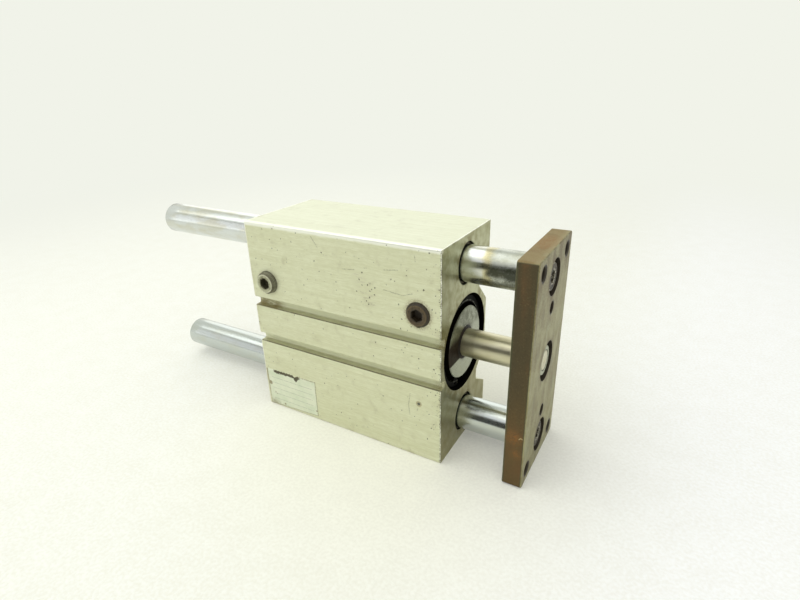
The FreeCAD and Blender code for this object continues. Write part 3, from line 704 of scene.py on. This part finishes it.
def closedMesh(name, rings, startPole, endPole):
    # rings is (rows, columns, 3); each row is joined to the next and round to its own start, and
    # the first and last rows are closed by one point each
    rows, columns = rings.shape[:2]
    points = np.vstack([rings.reshape(-1, 3), [startPole, endPole]])
    here = np.arange(columns)
    after = (here + 1) % columns
    start = (np.arange(rows - 1) * columns)[:, None]
    quads = np.stack([start + here, start + after, start + columns + after, start + columns + here], axis=-1)
    last = (rows - 1) * columns
    firstFan = np.stack([after, here, np.full(columns, rows * columns)], axis=-1)
    lastFan = np.stack([last + here, last + after, np.full(columns, rows * columns + 1)], axis=-1)
    return newMesh(name, points, quads.reshape(-1, 4).tolist() + firstFan.tolist() + lastFan.tolist())


def addPiece(name, mesh, body, material, slot, *replaced, sharp=35.0):
    # a smooth-shaded piece that keeps edges sharper than the given angle
    piece = newObject(name, mesh)
    mesh.materials.append(material)
    mesh.shade_smooth()
    mesh.set_sharp_from_angle(angle=math.radians(sharp))
    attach(piece, body)
    if replaced:
        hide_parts(*replaced)
    return piece


# lengths in millimetres, and how many teeth a knurl has
turned = {"pitch": 1.337, "threadDepth": 0.75, "knurlDepth": 0.28, "knurlTeeth": 60}


def turnedRings(profile, columns, centre, along):
    # profile rows are (station, radius) or (station, radius, form); a point at angle a of a row lies
    # at station along the axis and radius away from it, where form changes the radius: "hexagon"
    # divides it by the cosine of the angle from the nearest flat's middle, with a corner up, "thread"
    # takes off a triangle wave that turns once a pitch, "knurl" takes off a wave with many teeth round
    angles = np.linspace(0, 2 * math.pi, columns, endpoint=False)
    stations = np.array([row[0] for row in profile], float)
    radii = np.array([row[1] for row in profile], float)
    forms = np.array([row[2] if len(row) > 2 else "round" for row in profile])
    reach = np.repeat(radii[:, None], columns, axis=1)
    fromFlat = angles % (math.pi / 3) - math.pi / 6
    hexagon, thread, knurl = forms == "hexagon", forms == "thread", forms == "knurl"
    reach[hexagon] = radii[hexagon, None] / np.cos(fromFlat)[None, :]
    turn = (stations[thread, None] / turned["pitch"] - angles[None, :] / (2 * math.pi)) % 1.0
    reach[thread] -= turned["threadDepth"] * np.abs(2 * turn - 1)
    reach[knurl] -= turned["knurlDepth"] * (0.5 + 0.5 * np.cos(angles * turned["knurlTeeth"]))[None, :]
    side, up = acrossAxis(along)
    offsets = reach[:, :, None] * (np.cos(angles)[None, :, None] * side + np.sin(angles)[None, :, None] * up)
    return centre + stations[:, None, None] * along + offsets


def acrossAxis(along):
    # two unit vectors square to the axis, turned so that a surface whose stations grow faces outwards
    side = np.array([0.0, 0.0, 1.0])
    return side, np.cross(along, side)


def turnedPiece(name, profile, centre, along, body, material, slot, *replaced, columns=128):
    # a profile turned about the line through the centre, and closed on that line at both ends
    along = np.array(along, float)
    centre = np.array(centre, float)
    rings = turnedRings(profile, columns, centre, along)
    startPole = centre + profile[0][0] * along
    endPole = centre + profile[-1][0] * along
    mesh = closedMesh(name, rings, startPole, endPole)
    return addPiece(name, mesh, body, material, slot, *replaced)


def chromeRods():
    # cylinders along +X with an eased edge and a centre hole at the free end
    rods = {"edge": 0.9, "centreHole": 2.6, "centreDepth": 2.4, "stationStep": 14.0}
    upper = groundChrome("guideChromeUpper", upperRodZ, tint(214, 218, 217), tint(182, 172, 122),
                         tint(140, 143, 120), tint(50, 52, 38),
                         frontX + 15.0, plateLow[0] + 3.0, 1.0)
    lower = groundChrome("guideChromeLower", lowerRodZ, tint(198, 204, 202), tint(192, 192, 176),
                         tint(180, 184, 168), tint(110, 108, 88),
                         frontX + 36.0, plateLow[0] + 3.0, 0.35)
    for label, low, high, z, material in (
        ("Upper", upperRodLow, upperRodHigh, upperRodZ, upper),
        ("Lower", lowerRodLow, lowerRodHigh, lowerRodZ, lower),
    ):
        start, end, radius = low[0], high[0], (high[1] - low[1]) / 2
        edge, hole, step = rods["edge"], rods["centreHole"], rods["stationStep"]
        profile = [
            (start + rods["centreDepth"], 0.3), (start, hole), (start, hole + 0.2),
            (start, radius - edge - 0.2), (start + 0.05, radius - edge), (start + edge, radius - 0.06),
            (start + edge + 0.15, radius),
        ]
        profile += [(station, radius) for station in np.arange(start + edge + step, end - 1.0, step)]
        profile += [(end, radius), (end, radius - 0.2), (end, 0.5)]
        turnedPiece("guideRod" + label, profile, (0, 0, z), (1, 0, 0), "slide_unit",
                    material, "guide_rod_chrome", "guide_rod_" + label.lower(), columns=160)


def pistonRod():
    # along +X: the spigot in the piston, the rod itself, then the narrower end in the plate
    rod = {"spigot": 7.0, "spigotLength": 5.0, "thread": 7.0, "centreHole": 2.0, "stationStep": 14.0}
    material = groundChrome("pistonChrome", cylinderZ, tint(206, 202, 176), tint(176, 164, 124),
                            tint(150, 140, 108), tint(96, 86, 60),
                            frontX - 4.0, frontX + 8.0, 0.3, matte=0.15)
    radius = (pistonRodHigh[1] - pistonRodLow[1]) / 2
    spigot, thread, step = rod["spigot"], rod["thread"], rod["stationStep"]
    start, shoulder, end = pistonRodLow[0], plateLow[0], pistonRodHigh[0]
    body = start + rod["spigotLength"]
    profile = [(start, 0.5), (start, spigot - 0.3), (start + 0.3, spigot), (body, spigot),
               (body, radius - 0.2), (body + 0.2, radius)]
    profile += [(station, radius) for station in np.arange(start + 18.0, shoulder - 2.0, step)]
    profile += [(shoulder - 0.01, radius), (shoulder, radius - 0.2), (shoulder, thread), (end - 0.6, thread),
                (end, thread - 0.6), (end, rod["centreHole"]), (end - 1.6, 0.4)]
    turnedPiece("pistonRodChrome", profile, (0, 0, cylinderZ), (1, 0, 0), "slide_unit",
                material, "piston_rod_chrome", "piston_rod", columns=144)


def hexagonSocket(face, flats, lead, deep, reach, dip):
    # profile rows of a six-sided socket: from its round mouth in the face down to a drilled point
    floor = face - deep
    return [(face, flats * 1.155 + reach), (face - lead, flats + 0.08, "hexagon"),
            (face - lead - 0.1, flats, "hexagon"), (floor, flats, "hexagon"),
            (floor, flats - 0.1, "hexagon"), (floor - dip, 0.3)]


def portPlugs():
    plug = {
        "length": 11.0, "outer": 8.33, "face": 6.95, "taper": 1.6, "flats": 3.75, "socket": 4.6,
        "lead": 0.25, "rowsPerPitch": 10,
    }
    brown = plugSteel("plugSteelBrown", portFrontX, tint(76, 62, 38), tint(96, 80, 52), tint(36, 28, 14), 0.1)
    silver = plugSteel("plugSteelSilver", portRearX, tint(172, 172, 144), tint(220, 219, 196),
                       tint(64, 58, 38), 0.6)
    outer, face, lead = plug["outer"], plug["face"], plug["lead"]
    for label, node, x, material, slot in (
        ("Front", "port_plug_front", portFrontX, brown, "rusty_plug_steel"),
        ("Rear", "port_plug_rear", portRearX, silver, "bare_plug_steel"),
    ):
        # stations run out of the block, along -Y
        proud = nearY - boxInMillimetres(node)[0][1]
        inner = proud - plug["length"]
        profile = [(inner, 0.5), (inner, outer - 1.2), (inner + 0.4, outer - 0.75)]
        threadStart, threadEnd = inner + 0.5, proud - plug["taper"]
        rows = int((threadEnd - threadStart) / turned["pitch"] * plug["rowsPerPitch"])
        profile += [(station, outer, "thread") for station in np.linspace(threadStart, threadEnd, rows)]
        profile += [(threadEnd + 0.15, outer - 0.3), (proud - 0.12, face + 0.1), (proud, face - 0.15)]
        profile += hexagonSocket(proud, plug["flats"], lead, plug["socket"], lead + 0.12, 0.7)
        turnedPiece("portPlug" + label, profile, (x, nearY, portZ), (0, -1, 0), "cylinder",
                    material, slot, node, columns=144)


def guideScrews():
    # along +X: the shank, then a low knurled head with a six-sided socket
    screw = {"head": 9.0, "headHeight": 7.0, "flats": 4.0, "socket": 4.5, "shank": 6.0, "edge": 0.5}
    material = screwSteel()
    low, high = boxInMillimetres("guide_rod_screws")
    top, seat, tip = high[0], high[0] - screw["headHeight"], low[0]
    head, shank, edge = screw["head"], screw["shank"], screw["edge"]
    profile = [(tip, 0.5), (tip, shank - 0.8), (tip + 0.8, shank), (seat, shank), (seat, head - 0.3),
               (seat + 0.3, head), (seat + 0.5, head, "knurl")]
    profile += [(station, head, "knurl") for station in np.linspace(seat + 1.0, top - 1.0, 6)]
    profile += [(top - edge - 0.2, head - 0.1), (top - 0.1, head - edge), (top, head - edge - 0.2)]
    profile += hexagonSocket(top, screw["flats"], 0.25, screw["socket"], 0.35, 1.0)
    for label, z in (("Upper", upperRodZ), ("Lower", lowerRodZ)):
        turnedPiece("guideScrew" + label, profile, (0, 0, z), (1, 0, 0), "slide_unit",
                    material, "black_screw_steel", "guide_rod_screws", columns=240)


def bareLabel():
    # a thin sheet on the near face: columns along X, rows up Z; its outline is a leaning rectangle
    # whose upper edge is torn in a step, and it stands off the face by less at its rim
    label = {
        "left": -77.2, "lean": 1.1, "right": -28.0, "lowLeft": 0.9, "lowRight": 3.3,
        "topLeft": 34.0, "topRight": 34.8, "thickness": 0.12, "columns": 120, "rows": 60,
        "stepAt": 29.0, "stepDrop": 1.6, "stepWidth": 1.2, "tornFrom": 5.0, "tornTo": 34.0,
        "rim": 0.3, "gap": 0.01, "backing": 0.02,
    }
    rows, columns = label["rows"], label["columns"]
    across = np.linspace(0, 1, columns)[None, :]
    up = np.linspace(0, 1, rows)[:, None]
    leftEdge = label["left"] - label["lean"] * up
    x = leftEdge + (label["right"] - leftEdge) * across
    bottom = label["lowLeft"] + (label["lowRight"] - label["lowLeft"]) * across
    top = label["topLeft"] + (label["topRight"] - label["topLeft"]) * across
    along = x[:1] - label["left"]
    dip = label["stepDrop"] * np.exp(-((along - label["stepAt"]) / label["stepWidth"]) ** 2)
    ragged = 0.25 * np.sin(along * 2.3) + 0.18 * np.sin(along * 5.9 + 1.0)
    top = top - dip - ragged * (along > label["tornFrom"]) * (along < label["tornTo"])
    z = bottom + (top - bottom) * up
    fromRim = np.minimum(np.minimum(across, 1 - across) * 49.0, np.minimum(up, 1 - up) * 33.0)
    stand = label["thickness"] * np.clip(fromRim / label["rim"], 0.0, 1.0)
    y = nearY - label["gap"] - stand
    points = np.stack([x, y, z], axis=-1).reshape(-1, 3)
    corner = (np.arange(rows - 1) * columns)[:, None] + np.arange(columns - 1)[None, :]
    faces = np.stack([corner, corner + 1, corner + columns + 1, corner + columns], axis=-1).reshape(-1, 4)
    material = labelPaper((label["left"], label["lowLeft"]), (label["right"], label["topRight"]))
    mesh = newMesh("bareLabel", points, faces.tolist())
    piece = addPiece("bareLabel", mesh, "cylinder", material, "anodised_body")
    backing = piece.modifiers.new("backing", "SOLIDIFY")
    backing.thickness = label["backing"] / perMetre
    backing.offset = -1.0


# Dress the frame


def dress(material, *names):
    for name in names:
        for slot in nodes[name].material_slots:
            slot.material = material


dress(anodisedBody(), "body_block")
dress(turnedAluminium(), "front_cover", "rear_cover")
dress(springSteel(), "front_retaining_ring", "rear_retaining_ring")
dress(rubber("blackRubber", tint(30, 30, 30), tint(52, 49, 42)), "front_cover_o_ring", "rear_cover_o_ring",
      "rod_seal", "piston_seal", "piston_bumpers", "piston_rod_o_ring")
dress(rubber("wiperRubber", tint(26, 21, 16), tint(70, 54, 40)), "rod_wiper")
dress(bearingMetal("bushBronze", tint(104, 98, 78), tint(58, 52, 38)), "guide_bushes_front",
      "guide_bushes_rear", "rod_bush")
dress(bearingMetal("pistonAluminium", tint(170, 172, 168), tint(138, 140, 136)), "piston")
dress(mouldedPlastic("magnetPlastic", tint(52, 50, 50), tint(78, 76, 74)), "piston_magnet")
dress(mouldedPlastic("wearRingPlastic", tint(104, 92, 70), tint(132, 120, 96)), "piston_wear_ring")
dress(screwSteel(), "piston_screw")
dress(nutSteel(), "rod_end_nut")
dress(plateSteel(), "tool_plate")
print("frame dressed")

chromeRods()
pistonRod()
portPlugs()
guideScrews()
bareLabel()
print("pieces built")


# Stage: floor, world, lamps and camera


def stage():
    # a paper floor that fades into the backdrop, so that it has no edge in any view
    setting = {
        "floorHalf": 30000.0, "paper": tint(225, 226, 221), "shade": tint(212, 211, 199),
        "warm": tint(224, 223, 207), "warmAt": (40.0, 0.0, 0.0),
        "backdropColour": tint(241, 243, 233), "fadeStart": 350.0, "fadeEnd": 1300.0,
        "glow": (0.15, 0.15, 0.15), "farGlow": (0.21, 0.21, 0.26),
    }
    half = setting["floorHalf"]
    corners = [(-half, -half, 0), (half, -half, 0), (half, half, 0), (-half, half, 0)]
    mesh = newMesh("floor", corners, [(0, 1, 2, 3)])
    newObject("floor", mesh)
    finish = Finish("floorPaper", Roughness=0.9, Specular_IOR_Level=0.2, Emission_Strength=1.0)
    fine = finish.noise(0.5, detail=3.0)
    coarse = finish.noise(0.05, detail=4.0, rough=0.65)
    # painted light: the paper turns warmer near the part, as its shade takes the block's colour
    colour = finish.layers(
        setting["paper"], (setting["warm"], finish.away(setting["warmAt"]).rise(220.0, 70.0) * 0.7),
        (setting["shade"], (fine * 0.8 + coarse * 0.3).rise(0.75, 0.35) * 0.7),
    )
    finish.paint(colour, height=fine, depth=0.0001)
    rays = finish.node("ShaderNodeLightPath", output="Is Camera Ray")
    seen = rays.most(rays.other("Is Glossy Ray")).most(rays.other("Is Transmission Ray"))
    # painted light: the glow grows and turns bluer towards +X, lifting the floor's shade on that side
    glow = finish.blend(setting["glow"], setting["farGlow"], finish.x.rise(60.0, 260.0))
    finish.feed(finish.shader.inputs["Emission Color"], finish.blend((0.0, 0.0, 0.0), glow, seen))
    far = finish.away((0.0, 0.0, 0.0)).rise(setting["fadeStart"], setting["fadeEnd"]) * seen
    sweep = finish.node("ShaderNodeEmission", None, {0: setting["backdropColour"], 1: 1.0})
    finish.over(sweep, far)
    mesh.materials.append(finish.material)
    tent(setting["backdropColour"])


def tent(backdropColour):
    # what lights the part is brightest above and towards -X -Y; what shines in it is an even pale tent
    # with an opening on the camera's side
    setting = {
        "lightFrom": (-0.36, -0.60, 0.72), "dim": 0.14, "strong": 1.12,
        "openingAt": (-0.31, -0.87, 0.38), "openingEdge": (0.76, 0.90), "openingLevel": 0.06, "shine": 1.0,
    }
    world = bpy.data.worlds.new("tent")
    bpy.context.scene.world = world
    world.use_nodes = True
    graph = Graph(world.node_tree)
    way = graph.node("ShaderNodeTexCoord", output="Generated")
    camera = graph.node("ShaderNodeLightPath", output="Is Camera Ray")

    def towards(direction):
        # cosine of the angle between the way a ray goes and a direction
        return graph.vector("DOT_PRODUCT", way, tuple(Vector(direction).normalized()), "Value")

    dim, strong, shine = setting["dim"], setting["strong"], setting["shine"]
    light = dim + (strong - dim) * (towards(setting["lightFrom"]) * 0.5 + 0.5)
    opening = towards(setting["openingAt"]).rise(*setting["openingEdge"])
    shine = shine - (shine - setting["openingLevel"]) * opening
    unseen = light + (shine - light) * camera.other("Is Glossy Ray")
    plain = camera.most(camera.other("Is Transmission Ray"))
    background = graph.tree.nodes["Background"].inputs
    graph.feed(background["Color"], backdropColour)
    graph.feed(background["Strength"], unseen + (1 - unseen) * plain)


def lamps():
    # for each: its place, its two sides and its power; all of them face the part
    target = (0.0, 0.0, 0.08)
    panels = {
        "roofPanel": ((-0.25, -0.30, 1.15), (1.6, 1.4), 7.0),
        "leftPanel": ((-1.05, -1.0, 0.45), (0.8, 0.8), 1.6),
        "backPanel": ((-0.75, 1.2, 0.65), (1.5, 1.0), 3.0),
    }
    for name, (place, size, power) in panels.items():
        data = bpy.data.lights.new(name, "AREA")
        data.shape = "RECTANGLE"
        data.size, data.size_y = size
        data.energy = power
        made = newObject(name, data)
        made.location = place
        made.rotation_euler = (Vector(target) - Vector(place)).to_track_quat("-Z", "Y").to_euler()


def camera():
    view = {
        "place": (0.2011, -0.29235, 0.24798), "turn": (66.4034, 1.4916, 30.1427),
        "lens": 22.983, "sensor": 36.0,
    }
    data = bpy.data.cameras.new("camera")
    data.lens = view["lens"]
    data.sensor_width = view["sensor"]
    data.clip_start = 0.01
    made = newObject("camera", data)
    made.location = view["place"]
    made.rotation_euler = Euler([math.radians(angle) for angle in view["turn"]])
    bpy.context.scene.camera = made


stage()
lamps()
camera()
bpy.context.scene.view_settings.view_transform = "Standard"
print("stage set")
